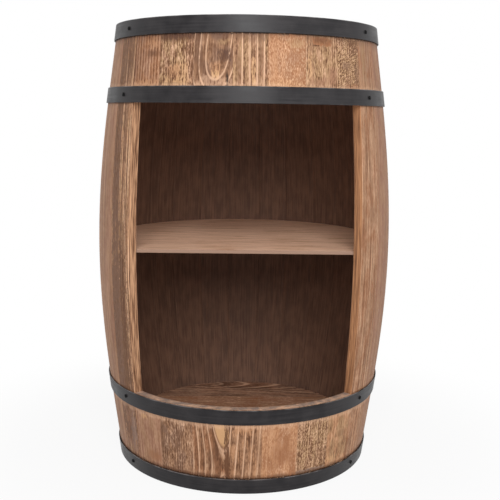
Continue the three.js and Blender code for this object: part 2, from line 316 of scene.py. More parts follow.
class Shader:
    """The nodes of a material or of the world."""

    def __init__(self, owner):
        owner.use_nodes = True
        self.owner = owner
        self.tree = owner.node_tree
        self.tree.nodes.clear()

    def node(self, kind, settings, inputs, output=0):
        """One node: its settings first, then the values or links of its sockets."""
        made = self.tree.nodes.new(kind)
        for name, value in settings.items():
            setattr(made, name, value)
        for name, value in inputs.items():
            if isinstance(value, Value):
                self.tree.links.new(value.socket, made.inputs[name])
            else:
                made.inputs[name].default_value = value
        return Value(self, made.outputs[output]) if len(made.outputs) else None

    def outputs(self, kind, inputs, names):
        """Several outputs of one node."""
        made = self.node(kind, {}, inputs).socket.node
        return [Value(self, made.outputs[name]) for name in names]

    def split(self, vector):
        return self.outputs("ShaderNodeSeparateXYZ", {0: vector}, "XYZ")

    def join(self, x, y, z):
        return self.node("ShaderNodeCombineXYZ", {}, {0: x, 1: y, 2: z})

    def vector_math(self, operation, first, second):
        return self.node("ShaderNodeVectorMath", {"operation": operation}, {0: first, 1: second})

    def attribute(self, name, output="Vector"):
        return self.node("ShaderNodeAttribute", {"attribute_name": name}, {}, output)

    def here(self):
        return self.node("ShaderNodeTexCoord", {}, {}, "Object")

    def noise(self, where, cell, seed, detail=2.0, output="Fac"):
        """Noise about one cell wide along each axis, from 0 to 1 and mostly near the middle."""
        spread = self.vector_math("DIVIDE", where, cell)
        moved = self.vector_math("ADD", spread, tuple(seed * along for along in SEED_MOVE))
        inputs = {"Vector": moved, "Scale": 1.0, "Detail": detail, "Roughness": NOISE_ROUGHNESS}
        return self.node("ShaderNodeTexNoise", {}, inputs, output)

    def mix(self, factor, first, second):
        settings = {"data_type": "RGBA", "clamp_factor": True}
        return self.node("ShaderNodeMix", settings, {0: factor, 6: first, 7: second}, 2)

    def bump(self, height, distance):
        return self.node("ShaderNodeBump", {}, {"Height": height, "Distance": distance}, "Normal")

    def finish(self, surface, kind="ShaderNodeOutputMaterial"):
        self.node(kind, {}, {"Surface": surface})
        return self.owner

    def principled(self, colour, roughness, gloss, normal):
        inputs = {"Base Color": colour, "Roughness": roughness, "Normal": normal}
        inputs["Specular IOR Level"] = gloss
        return self.finish(self.node("ShaderNodeBsdfPrincipled", {}, inputs))


# Pine


class Spot(NamedTuple):
    """A patch on a board's face: its middle, its half width and half height, and its tone."""

    across: float
    height: float
    half_width: float
    half_height: float
    tone: str
    strength: float = 0.7
    soft: float = 0.7


class Board(NamedTuple):
    """How a board was sawn and how it took the stain. Lengths in millimetres.

    The rings are circles round the pith, which is given by its place across the board and under
    its face at the height `level`. From there it leans, in millimetres per millimetre of height,
    and it bends deeper with the square of the height. The pith strays by `wander`, and the rings
    by `uneven`, which is a share of a ring.

    Each ring ends in a ridge that takes `ridge_share` of it, and one ridge lies at `bold`. Ridges
    have the strength `ridge`, and `faint` is how much it changes from place to place. There are
    none inside `core`, where the wood is as golden as `heart` says.

    The body tone changes in patches to the second one. The swings of the stain are shares of the
    way from there to the deep or pale tone: `blotch`, `streak`, `fleck` and the slanting `hatch`.
    A ring starts darker than it ends by `early`, and all of the board is darker by `dark`. `grit`
    scales the flecks, and the streaks are about `line` wide and `run` long. The sawn sides have
    the tone `cut`, and `saw` is the swing of the saw's lines on them.
    """

    body: str = "tan"
    second: str = "blush"
    deep: str = "umber"
    pale: str = "cream"
    level: float = 400.0
    pith: tuple = (0.0, 60.0)
    lean: tuple = (0.0, 0.0)
    bend: float = 0.0
    ring: float = 7.0
    bold: float = 0.0
    uneven: float = 0.7
    wander: float = 8.0
    core: float = 0.0
    heart: float = 0.0
    ridge: float = 0.35
    ridge_share: float = 0.22
    faint: float = 0.25
    early: float = 0.3
    dark: float = 0.0
    blotch: float = 0.25
    streak: float = 0.2
    fleck: float = 0.2
    hatch: float = 0.0
    grit: float = 1.0
    line: float = 2.1
    run: float = 70.0
    relief: float = 0.6
    cut: str = "copper"
    saw: float = 0.34
    spots: tuple = ()


# How far a noise usually swings from its middle, and the cells of the wood's noises in
# millimetres: across the board, in depth and along it
NOISE_SPREAD = 0.085
FLECK_CELL = Vector((2.0, 2.0, 7.0))
SAW_CELL = (1.5, 1.5, 42.0)
BLOTCH_CELL = (14.0, 14.0, 30.0)
PATCH_CELL = (17.0, 17.0, 42.0)
DRIFT_CELL = (80.0, 80.0, 260.0)
HATCH_CELL = (1.3, 1.3, 5.0)
RING_CELL = (16.0, 16.0, 16.0)
RIDGE_CELL = (7.0, 7.0, 7.0)
HATCH_TURN = math.radians(-55.0)
# Where patches of the second tone start and end in their noise, and how strong they are
PATCH_FROM, PATCH_TO, PATCH_STRENGTH = 0.42, 0.6, 0.8
PALE_STRENGTH = 0.8
# How solid a ridge is, and how much the flecks break it
RIDGE_SOLID, RIDGE_BROKEN = 0.8, 0.12
# How far inside a core its ridges and its golden heart fade, in millimetres
CORE_EDGE, HEART_EDGE = 1.0, 2.0
# How square the spots are
BOXY = 3.0
# How much streaks and flecks stand out beside the ridges, and how much glossier a ridge is
STREAK_RELIEF, FLECK_RELIEF = 0.3, 0.4
RIDGE_SHEEN = 0.08
# How grey the ends of staves are, and how dark the seams between them
END_GREY = 0.85
SEAM_DARK = 0.75


def swing(noise, amount):
    """A noise's swing round zero, whose usual size is the amount given."""
    return (noise - 0.5) * (amount / NOISE_SPREAD)


class Pine:
    """Brushed pine under a brown stain: pale latewood ridges over earlywood that drank it."""

    def __init__(self, name, board, tones, grain_of, seed):
        self.shader = Shader(bpy.data.materials.new(name))
        self.board = board
        self.tones = tones
        self.seed = seed
        self.grain = grain_of(self.shader)
        self.across, self.depth, self.height = self.shader.split(self.grain)
        self.blotch = self.noise(BLOTCH_CELL, 1, 3.0)
        self.streak = self.noise((board.line, board.line, board.run), 2)
        self.fleck = self.noise(FLECK_CELL * board.grit, 3)
        self.patch = self.noise(PATCH_CELL, 4)
        self.radius = self.distance_from_pith()
        self.late, self.early = self.ring_parts()

    def noise(self, cell, number, detail=2.0, where=None, output="Fac"):
        """The board's noise of a number."""
        return self.shader.noise(where or self.grain, cell, self.seed + number, detail, output)

    def tone(self, name):
        return linear(getattr(self.tones, name))

    def tinted(self, colour, amount, tone_name):
        """The colour with an amount of a tone over it."""
        return self.shader.mix(amount, colour, self.tone(tone_name))

    def distance_from_pith(self):
        board = self.board
        drift = self.noise(DRIFT_CELL, 0, 1.0, output="Color")
        drift_across, drift_depth, _ = self.shader.split(drift)
        climb = self.height - board.level
        x = self.across - board.pith[0] - climb * board.lean[0]
        y = self.depth + board.pith[1] + climb * board.lean[1]
        if board.bend:
            y = y + climb * climb * board.bend
        x = x + (drift_across - 0.5) * board.wander
        y = y + (drift_depth - 0.5) * board.wander
        return (x * x + y * y) ** 0.5

    def ring_parts(self):
        """How much each point belongs to a ring's late ridge, and how far through the ring it is."""
        board = self.board
        along_radius = self.shader.join(self.radius, 0.0, 0.0)
        widths = self.noise(RING_CELL, 0, 1.0, along_radius)
        # The ridge rises, stays and falls in the last part of the ring, the wider by its share
        share = board.ridge_share
        rise_from, top_from, top_to = 1 - 1.5 * share, 1 - share, 1 - 0.5 * share
        turn = (self.radius - board.bold) / board.ring + (top_from + top_to) / 2
        turn = (turn + (widths - 0.5) * board.uneven).fraction()
        late = turn.rise(rise_from, top_from) * (1 - turn.rise(top_to, 1.0))
        if board.core:
            late = late * self.radius.rise(board.core - CORE_EDGE, board.core)
        strength = self.noise(RIDGE_CELL, 6, 1.0, along_radius)
        late = late * (swing(strength, board.faint) + (1 - board.faint)).clamped()
        return late, turn.rise(0.0, top_from)

    def stain(self):
        """Above 0 where the wood drank more stain than its body tone shows, below where less."""
        board = self.board
        stain = swing(self.blotch, board.blotch) + swing(self.streak, board.streak)
        stain = stain + swing(self.fleck, board.fleck) + (0.5 - self.early) * board.early
        if board.hatch:
            cosine, sine = math.cos(HATCH_TURN), math.sin(HATCH_TURN)
            sideways = self.across * cosine + self.height * sine
            lengthways = self.height * cosine - self.across * sine
            turned = self.shader.join(sideways, self.depth, lengthways)
            stain = stain + swing(self.noise(HATCH_CELL, 5, 1.0, turned), board.hatch)
        return stain + board.dark

    def colour(self):
        board = self.board
        stain = self.stain()
        patch = self.patch.rise(PATCH_FROM, PATCH_TO) * PATCH_STRENGTH
        body = self.tinted(self.tone(board.body), patch, board.second)
        darker = self.tinted(body, stain.clamped(), board.deep)
        colour = self.tinted(darker, (stain * -PALE_STRENGTH).clamped(), board.pale)
        if board.heart:
            inside = 1 - self.radius.rise(board.core - HEART_EDGE, board.core)
            colour = self.tinted(colour, inside * board.heart, "honey")
        broken = (RIDGE_SOLID + swing(self.fleck, RIDGE_BROKEN)) * board.ridge
        return self.tinted(colour, self.late * broken, board.pale)

    def spotted(self, colour):
        """The colour with the board's spots on it, ragged at their edges and mottled inside."""
        ragged = swing(self.fleck, 0.15) + swing(self.blotch, 0.12)
        mottled = 1 - (swing(self.fleck, 0.3) + swing(self.streak, 0.2) + 0.02).clamped()
        for spot in self.board.spots:
            x = abs((self.across - spot.across) / spot.half_width)
            z = abs((self.height - spot.height) / spot.half_height)
            apart = (x**BOXY + z**BOXY) ** (1 / BOXY) + ragged
            covered = (1 - apart.rise(1 - spot.soft, 1.0)) * spot.strength * mottled
            colour = self.tinted(colour, covered, spot.tone)
        return colour

    def finished(self, colour):
        """The material, with brushed relief under its colour."""
        relief = self.late * self.board.relief
        relief = relief + self.streak * STREAK_RELIEF + self.fleck * FLECK_RELIEF
        roughness = swing(self.fleck, 0.04) + (self.tones.roughness - self.late * RIDGE_SHEEN)
        bump = self.shader.bump(relief, self.tones.relief)
        return self.shader.principled(colour, roughness.clamped(), self.tones.gloss, bump)


def plank_grain(middle, across, along):
    """Where a point lies on a straight board with a middle and two directions."""
    turn = Matrix((across, along.cross(across), along)).transposed().to_euler()
    to_millimetres = (1 / MILLIMETRES,) * 3

    def grain(shader):
        inputs = {0: shader.here(), "Location": middle, "Rotation": turn, "Scale": to_millimetres}
        return shader.node("ShaderNodeMapping", {"vector_type": "TEXTURE"}, inputs)

    return grain


def plank_wood(name, board, tones, grain_of, seed):
    wood = Pine(name, board, tones, grain_of, seed)
    return wood.finished(wood.spotted(wood.colour()))


def stave_wood(name, board, tones, seed):
    """A stave's wood: its sawn, inner and end faces, its rubbed and dirty edges, and the bands beside
    the hoops. The inner faces are darker as a painted shade of the cabinet's inside.
    """
    wood = Pine(name, board, tones, lambda shader: shader.attribute("grain"), seed)
    shader = wood.shader
    colour = hoop_shade_and_wear(wood, wood.spotted(wood.colour()))
    inner, sawn, end = shader.split(shader.attribute("faces"))
    # The inner faces take darker tones: a painted shade of the cabinet's deep inside
    rough = (swing(wood.streak, 0.3) + swing(wood.blotch, 0.2) + 0.5).clamped()
    colour = shader.mix(inner, colour, wood.tinted(wood.tone("smoke"), rough, "hollow"))
    lines = swing(wood.noise(SAW_CELL, 8), board.saw) + swing(wood.streak, 0.08) + 0.48
    colour = shader.mix(sawn, colour, wood.tinted(wood.tone("umber"), lines.clamped(), board.cut))
    colour = wood.tinted(colour, end * END_GREY, "mauve")
    edge = shader.attribute("edge", "Fac")
    rubbed = edge * (1 - sawn) * (swing(wood.blotch, 0.25) + 0.25)
    colour = wood.tinted(colour, rubbed.clamped(), "cream")
    seam = (edge * -1.0).rise(0.25, 1.0)
    return wood.finished(wood.tinted(colour, seam * SEAM_DARK, "plum"))


class HoopBand(NamedTuple):
    """A band beside a hoop: a tone, how far it reaches, and how strong it is. Dark bands are painted
    shade of the hoop with some dirt, pale ones wood paled beside it.
    """

    hoop: str
    above: bool
    tone: str
    reach: float
    strength: float


# The dark bands under and over the hoops are painted shade with some dirt, the thin soot lines painted
# shadow; the cream bands are paled wood
HOOP_SHADE_AND_WEAR = (
    HoopBand("top_hoop", False, "plum", 15.0, 0.3),
    HoopBand("top_hoop", False, "plum", 5.0, 0.4),
    HoopBand("top_hoop", False, "soot", 2.6, 0.8),
    HoopBand("upper_bilge_hoop", True, "cream", 6.0, 0.3),
    HoopBand("upper_bilge_hoop", False, "umber", 3.0, 0.5),
    HoopBand("lower_bilge_hoop", True, "umber", 3.0, 0.5),
    HoopBand("lower_bilge_hoop", False, "cream", 11.0, 0.4),
    HoopBand("bottom_hoop", True, "umber", 8.0, 0.65),
    HoopBand("bottom_hoop", True, "soot", 2.6, 0.85),
)


# How far under its hoop's edge a band starts, in millimetres, and over which share of its reach
# it keeps its strength
MARK_START = -2.0
MARK_SOLID = 0.3
# How ragged a band is: by flecks, in millimetres, and by blotches, as a share of its reach
MARK_FLECKS, MARK_BLOTCHES = 0.8, 0.15


def hoop_shade_and_wear(wood, colour):
    """The colour with the hoops' bands, ragged at their edges: painted shade and dirt in the dark
    ones, paled wood in the pale ones.
    """
    for band in HOOP_SHADE_AND_WEAR:
        low, high = [edge * MILLIMETRES for edge in heights_of(band.hoop)]
        away = wood.height - high if band.above else low - wood.height
        ragged = swing(wood.blotch, MARK_BLOTCHES * band.reach)
        away = away + swing(wood.fleck, MARK_FLECKS) + ragged
        near = away.rise(MARK_START, 0.0) * (1 - away.rise(MARK_SOLID * band.reach, band.reach))
        colour = wood.tinted(colour, near * band.strength, band.tone)
    return colour


# The staves' boards. Those that show in front look as listed, and the rest are sawn at random

BOLD = Board(
    body="tan", deep="umber", ring=12.0, ridge=0.92, ridge_share=0.18, faint=0.2, early=0.5,
    dark=0.45, blotch=0.18, streak=0.2, fleck=0.18, uneven=0.1, wander=3.0, relief=1.0,
)
PLAIN = Board(
    body="gold", second="tan", deep="rust", ring=6.0, ridge=0.12, early=0.15, blotch=0.2,
    streak=0.2, fleck=0.35, pith=(-140.0, 60.0), relief=0.3,
)
MOTTLED = Board(
    body="tan", second="olive", deep="umber", ring=4.5, ridge=0.25, early=0.3, dark=0.1,
    blotch=0.2, streak=0.3, fleck=0.4, pith=(-160.0, 50.0), relief=0.5,
)
STRIPED = Board(
    body="rust", deep="umber", ring=6.6, ridge=0.2, early=0.8, dark=0.05, blotch=0.15,
    streak=0.12, fleck=0.1, pith=(-220.0, 40.0), ridge_share=0.4, uneven=0.2, wander=3.0,
)
STRIPE_STAVE = BOLD._replace(pith=(-240.0, 60.0))
SMOOTH = PLAIN._replace(
    body="blush", deep="umber", run=200.0, fleck=0.04, blotch=0.06, early=0.1, ridge=0.05,
)


def sawn(style, *spots, **changes):
    """A board of a style, with its own spots and changes."""
    return style._replace(spots=spots, **changes)


FRONT_BOARDS = {
    "upper_short_stave_1": sawn(
        STRIPED,
        Spot(14, 757, 19, 12, "gold", 0.6),
        Spot(-22, 735, 14, 60, "umber", 0.3),
        Spot(14, 741, 20, 7, "umber", 0.7, 0.7),
        Spot(0, 688, 44, 14, "gold", 0.9),
        dark=0.22, fleck=0.2,
    ),
    "upper_short_stave_2": sawn(
        MOTTLED,
        # Painted shade, with some dirt, under the top hoop
        Spot(0, 774, 60, 17, "plum", 0.9, 0.6),
        Spot(-3, 711, 14, 15, "gold", 0.65, 0.4),
        Spot(16, 712, 8, 18, "honey", 0.5),
        Spot(-6, 693.3, 20, 0.9, "soot", 0.95, 0.4),
        Spot(0, 692, 40, 12, "honey", 0.55),
        body="olive", second="blush", fleck=0.54, dark=0.35,
    ),
    "upper_short_stave_3": sawn(
        BOLD,
        Spot(5, 706, 9, 9, "honey", 0.8),
        Spot(6, 718, 13, 10, "gold", 0.5),
        Spot(18, 757, 12, 7, "olive", 0.7),
        Spot(9, 768, 18, 8, "smoke", 0.7),
        Spot(18.0, 736, 13, 14, "plum", 0.85, 0.6),
        Spot(-22, 722, 9, 26, "umber", 0.5),
        Spot(2, 690, 14, 5, "blush", 0.5),
        Spot(0, 695, 50, 13, "cream", 0.35),
        Spot(23.5, 702, 2.4, 11, "soot", 0.95, 0.5),
        level=765.0, pith=(10.2, 3.0), lean=(0.112, 0.0), bend=0.0038, ring=10.7, bold=20.0,
        core=17.0, dark=0.35, second="smoke", wander=1.5, faint=0.08,
    ),
    "upper_short_stave_4": sawn(
        STRIPE_STAVE,
        Spot(5, 705, 4.5, 40, "honey", 0.7),
        Spot(-18, 720, 4, 30, "umber", 0.5),
        Spot(17, 735, 5, 40, "umber", 0.45),
        # Painted shade, with some dirt, under the top hoop
        Spot(0, 771, 60, 16, "umber", 0.35),
        ring=11.3, bold=245.8, dark=0.18, second="olive", faint=0.35, fleck=0.28,
    ),
    "upper_short_stave_5": sawn(
        PLAIN,
        Spot(0, 688, 50, 14, "honey", 0.5),
        Spot(14, 757, 18, 9, "olive", 0.6),
        Spot(-22, 730, 8, 50, "gold", 0.6),
        Spot(12, 735, 14, 12, "blush", 0.35),
        dark=0.36, fleck=0.6, grit=0.6, streak=0.15, blotch=0.12,
    ),
    "upper_short_stave_6": sawn(
        MOTTLED,
        Spot(-3.5, 762, 23, 7.5, "rust", 1.0, 0.25),
        Spot(-6, 763, 13, 6, "umber", 0.6),
        Spot(-14, 755.2, 10, 1.5, "umber", 1.0, 0.4),
        Spot(18, 706, 10, 22, "blush", 0.7),
        Spot(-8, 696, 18, 12, "blush", 0.7),
        Spot(-24, 725, 5, 25, "honey", 0.5),
        body="olive", second="tan", fleck=0.32, streak=0.32, line=1.7, blotch=0.12, dark=0.14,
    ),
    "upper_short_stave_7": sawn(
        MOTTLED,
        Spot(10, 764, 13, 8, "umber", 0.65),
        Spot(-8, 725, 15, 9, "smoke", 0.6),
        Spot(20, 715, 8, 22, "smoke", 0.5),
        Spot(24, 735, 4, 60, "blush", 0.5),
        Spot(8, 692, 24, 6, "rust", 0.6),
        body="olive", dark=0.36, hatch=0.5, fleck=0.1, streak=0.1, second="tan",
    ),
    "lower_short_stave_1": sawn(
        PLAIN,
        Spot(14, 48, 22, 12, "rust", 0.7), Spot(-8, 119, 9, 6, "honey", 0.7),
        body="blush", deep="umber", dark=-0.06, fleck=0.08, streak=0.12, blotch=0.08,
    ),
    "lower_short_stave_2": sawn(
        MOTTLED,
        Spot(-24, 106, 8, 10, "smoke", 0.8),
        Spot(-29, 88, 6, 34, "umber", 0.6),
        # Painted shade, with some dirt, over the bottom hoop
        Spot(0, 28, 60, 8, "plum", 0.6),
        dark=0.26, fleck=0.35, streak=0.15, second="smoke",
    ),
    "lower_short_stave_3": sawn(
        BOLD,
        Spot(28, 76, 4.5, 80, "umber", 0.9, 0.3),
        Spot(10, 70, 12, 30, "plum", 0.3),
        # Painted shade, with some dirt, over the bottom hoop
        Spot(0, 28, 60, 8, "plum", 0.6),
        level=56.0, pith=(24.0, 22.0), bend=-0.0025, ring=9.4, bold=22.0, core=21.0, heart=0.82,
        dark=0.4, second="rust",
    ),
    "lower_short_stave_4": sawn(
        STRIPE_STAVE,
        Spot(-4, 124, 24, 14, "gold", 0.7), Spot(24, 70, 6, 60, "tan", 0.7),
        level=125.0, lean=(0.055, 0.0), ring=12.2, bold=235.3, dark=0.38, second="gold",
    ),
    "lower_short_stave_5": sawn(
        PLAIN,
        Spot(4, 76, 24, 24, "rust", 0.6), Spot(-16, 116, 14, 16, "gold", 0.6),
        dark=0.1, second="rust", fleck=0.3, grit=0.7, streak=0.12,
    ),
    "lower_short_stave_6": sawn(
        MOTTLED,
        Spot(0, 33, 60, 4, "mauve", 0.6),
        body="olive", fleck=0.45, grit=0.75, hatch=0.2, blotch=0.15, dark=0.26, second="tan",
    ),
    "lower_short_stave_7": sawn(
        PLAIN,
        Spot(10, 88, 14, 8, "umber", 0.4),
        Spot(-18, 44, 16, 7, "honey", 0.5),
        Spot(12, 36, 14, 7, "copper", 0.5),
        second="olive", deep="umber", fleck=0.15, streak=0.15, dark=0.15,
    ),
    "left_jamb_stave": sawn(
        MOTTLED,
        Spot(-15, 620, 15, 230, "umber", 0.75, 0.4),
        Spot(-7, 240, 33, 225, "umber", 0.8, 0.3),
        Spot(-12, 330, 16, 300, "smoke", 0.75, 0.4),
        Spot(2, 738, 26, 44, "smoke", 0.4, 0.3),
        Spot(10, 736, 12, 40, "umber", 0.6),
        Spot(3, 78, 24, 52, "blush", 0.7, 0.4),
        Spot(-4, 78, 20, 26, "umber", 0.6),
        Spot(12, 80, 14, 46, "mauve", 0.45),
        body="gold", ridge=0.42, ridge_share=0.3, ring=4.2, dark=0.47, streak=0.8, line=2.4,
        run=220.0, fleck=0.28, blotch=0.1, early=0.5,
    ),
    "right_jamb_stave": sawn(
        PLAIN,
        Spot(-8, 740, 9, 60, "olive", 0.7),
        Spot(0, 735, 26, 50, "smoke", 0.35),
        Spot(0, 78, 26, 55, "copper", 0.3),
        body="tan", second="rust", deep="umber", streak=0.25, line=3.6, run=130.0, ridge=0.2,
        ring=8.0, fleck=0.1, blotch=0.12, cut="amber", saw=0.16,
    ),
    "stave_01": sawn(SMOOTH, streak=0.1, line=5.0),
    "stave_17": sawn(SMOOTH, streak=0.14, line=6.0, dark=-0.14),
}


def common_board(name):
    """A board like the others, sawn from anywhere in the log."""
    source = random.Random(f"{name} board")
    style = source.choice((PLAIN, MOTTLED, STRIPED, BOLD))
    body = source.choice(("tan", "blush", "rust", "gold", "smoke"))
    pith = (source.uniform(-60, 60), source.uniform(25, 80))
    lean = (source.uniform(-0.03, 0.03), source.uniform(-0.08, 0.08))
    return style._replace(body=body, pith=pith, lean=lean, ring=source.uniform(5, 9), uneven=0.8)


# Meshes

# Angles from which an edge stays sharp
CREASE = math.radians(35.0)
DOME_CREASE = math.radians(40.0)
# The gap between two staves' solids
SOLID_JOINT = 0.0003
MOUTH_LOW = max(heights_of(name)[1] for name in SHORT_STAVES if name.startswith("lower"))
MOUTH_HIGH = min(heights_of(name)[0] for name in SHORT_STAVES if name.startswith("upper"))


def in_scene(name, data):
    made = bpy.data.objects.new(name, data)
    bpy.context.scene.collection.objects.link(made)
    return made


def new_piece(name, mesh, material, replaced=()):
    """A piece of the cabinet that rides with it."""
    piece = in_scene(name, mesh)
    mesh.materials.append(material)
    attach(piece, BODY)
    if replaced:
        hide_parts(*replaced)


def shaded(mesh, crease):
    mesh.shade_smooth()
    mesh.set_sharp_from_angle(angle=crease)


def put_attribute(mesh, name, kind, domain, values):
    field = "vector" if kind == "FLOAT_VECTOR" else "value"
    made = mesh.attributes.new(name, kind, domain)
    made.data.foreach_set(field, np.asarray(values, np.float32).ravel())


def fall(distance, radius):
    """How far a rounded arris falls back at a distance from the edge."""
    reach = np.clip(radius - distance, 0.0, radius)
    return radius - np.sqrt(radius**2 - reach**2)


def edge_steps(radius, steps):
    """Distances from an edge at which a mesh follows its rounding, closest at the edge."""
    return radius * (1 - np.cos(np.linspace(0, math.pi / 2, steps + 1)))


class Stave:
    """A stave's smooth shape: the cask's outline between its own two joints."""

    def __init__(self, name, sizes):
        self.name = name
        self.sizes = sizes
        self.levels, outer, inner, first, last = stave_levels(name).T
        self.low, self.high = self.levels[0], self.levels[-1]
        self.thickness = outer - inner
        radii = [cask.radius(height) for height in self.levels]
        self.joints = [np.polyfit(radii, side, 1) for side in (first, last)]

    def joint_angles(self, height):
        radius = cask.radius(height)
        spread = (SOLID_JOINT - self.sizes.joint) / 2 / radius
        first, last = [float(np.polyval(joint, radius)) for joint in self.joints]
        return first - spread, last + spread

    def free_sides(self, height):
        """1 for a side that lies bare beside the mouth and -1 for one in a joint: first, last."""
        beside_mouth = MOUTH_LOW < height < MOUTH_HIGH
        first = 1 if beside_mouth and self.name == "right_jamb_stave" else -1
        last = 1 if beside_mouth and self.name == "left_jamb_stave" else -1
        return first, last

    def heights(self):
        """Rows of the mesh: those of the solid, the rounded ends, and even rows between them."""
        ends = edge_steps(self.sizes.end_arris, self.sizes.edge_columns)
        fixed = [*self.levels[1:-1], *(self.low + ends), *(self.high - ends)]
        fixed = np.unique(np.round(fixed, 6))
        rows = [fixed[0]]
        for height in fixed[1:]:
            steps = math.ceil((height - rows[-1]) / self.sizes.row_height)
            rows.extend(np.linspace(rows[-1], height, steps + 1)[1:])
        return rows

    def row(self, height):
        """Points, grain and edges round the stave: along the outer face and back on the inner."""
        sizes = self.sizes
        radius = cask.radius(height)
        first, last = self.joint_angles(height)
        width = (last - first) * radius
        edge = edge_steps(sizes.arris, sizes.edge_columns)
        between = np.linspace(edge[-1], width - edge[-1], sizes.face_columns + 1)[1:-1]
        across = np.concatenate([edge, between, (width - edge)[::-1]])
        turns = first + across / radius
        from_middle = turns - (first + last) / 2
        drop = fall(np.minimum(across, width - across), sizes.arris)
        end_drop = fall(min(height - self.low, self.high - height), sizes.end_arris)
        hollow = sizes.flatness * (1 - (2 * across / width - 1) ** 2)
        thick = np.interp(height, self.levels, self.thickness)
        outer = radius - drop - end_drop - hollow
        inner = radius - thick + drop + end_drop
        radii, turns, from_middle = [
            np.concatenate([there, back[::-1]])
            for there, back in ((outer, inner), (turns, turns), (from_middle, from_middle))
        ]
        points = [cask.point(r, turn, height) for r, turn in zip(radii, turns)]
        side, deep = radii * np.sin(from_middle), radius - radii * np.cos(from_middle)
        grain = np.stack([side, deep, np.full_like(side, height)], axis=1) * MILLIMETRES
        bare = np.where(across < width / 2, *self.free_sides(height))
        worn = np.maximum(drop / sizes.arris * bare, end_drop / sizes.end_arris)
        return points, grain, np.concatenate([worn, worn[::-1]])

    def mesh(self, name):
        rows = [self.row(height) for height in self.heights()]
        points, grain, edges = [np.array(part) for part in zip(*rows)]
        faces, kinds = stave_faces_of(*edges.shape)
        mesh = bpy.data.meshes.new(name)
        mesh.from_pydata(points.reshape(-1, 3).tolist(), [], faces)
        put_attribute(mesh, "grain", "FLOAT_VECTOR", "POINT", grain)
        put_attribute(mesh, "edge", "FLOAT", "POINT", edges)
        put_attribute(mesh, "faces", "FLOAT_VECTOR", "FACE", kinds)
        shaded(mesh, CREASE)
        return mesh


def tube_faces(rings, size):
    """Quads of a closed tube through rings of points."""
    faces = []
    for start in range(0, (rings - 1) * size, size):
        for i in range(size):
            after = (i + 1) % size
            faces.append((start + i, start + after, start + size + after, start + size + i))
    return faces


def stave_faces_of(rings, size):
    """Quads of a stave's mesh and, for each, whether it is an inner, a sawn or an end face."""
    outside, inside, sawn, end = (0, 0, 0), (1, 0, 0), (0, 1, 0), (0, 0, 1)
    across = size // 2 - 1
    faces = tube_faces(rings, size)
    kinds = [*[outside] * across, sawn, *[inside] * across, sawn] * (rings - 1)
    top = (rings - 1) * size
    for i in range(across):
        bottom = (i, size - 1 - i, size - 2 - i, i + 1)
        faces.append(bottom)
        faces.append(tuple(top + corner for corner in reversed(bottom)))
        kinds.extend((end, end))
    return faces, kinds


# Steel

# The turn over which a hoop's end steps out over its other end
JOGGLE = math.radians(10.0)
CORNER_STEPS = 3
# Heights of a lap's rivets, as shares of the strip's width
RIVET_SHARES = (0.28, 0.72)
DOME_ROWS = 4
# How much of a nail's shank is as wide as its top
TIP_SHARE = 0.8
# Cells of the paint's noises, in metres
CLOUD_CELL = (0.03, 0.03, 0.03)
GRIT_CELL = (0.0012, 0.0012, 0.0012)
BRUSH_CELL = (0.08, 0.08, 0.003)
PAINT_RELIEF = 0.00006


def black_paint(name, settings):
    """Matte black paint, a little uneven, rubbed grey along the edges; on the hoops that grey is wear
    and a painted highlight, mostly on their upper edges.
    """
    paint, rub = linear(settings.paint), linear(settings.rub)
    shader = Shader(bpy.data.materials.new(name))
    here = shader.here()
    cloud = shader.noise(here, CLOUD_CELL, 4.0, 3.0)
    grit = shader.noise(here, GRIT_CELL, 9.0)
    brushed = shader.noise(here, BRUSH_CELL, 14.0)
    # The edge grey from the mesh is wear and a painted highlight, strongest on the hoops' upper edges
    rubbed = (shader.attribute("worn", "Fac") * (swing(cloud, 0.5) + 0.4)).clamped()
    scuffed = (swing(cloud, 0.02) + swing(brushed, 0.015) + 0.05).clamped()
    colour = shader.mix(rubbed * 0.8, shader.mix(scuffed, paint, rub), rub)
    roughness = swing(cloud, 0.03) + swing(brushed, 0.02) + settings.roughness
    bump = shader.bump(grit + cloud * 0.5 + brushed * 0.25, PAINT_RELIEF)
    return shader.principled(colour, roughness, settings.gloss, bump)


def ring_mesh(name, rings, worn):
    """A closed tube through rings of points, with flat ends."""
    size = len(rings[0])
    points = [tuple(point) for ring in rings for point in ring]
    start, end = tuple(reversed(range(size))), tuple(range(len(points) - size, len(points)))
    mesh = bpy.data.meshes.new(name)
    mesh.from_pydata(points, [], [*tube_faces(len(rings), size), start, end])
    put_attribute(mesh, "worn", "FLOAT", "POINT", worn)
    shaded(mesh, CREASE)
    return mesh


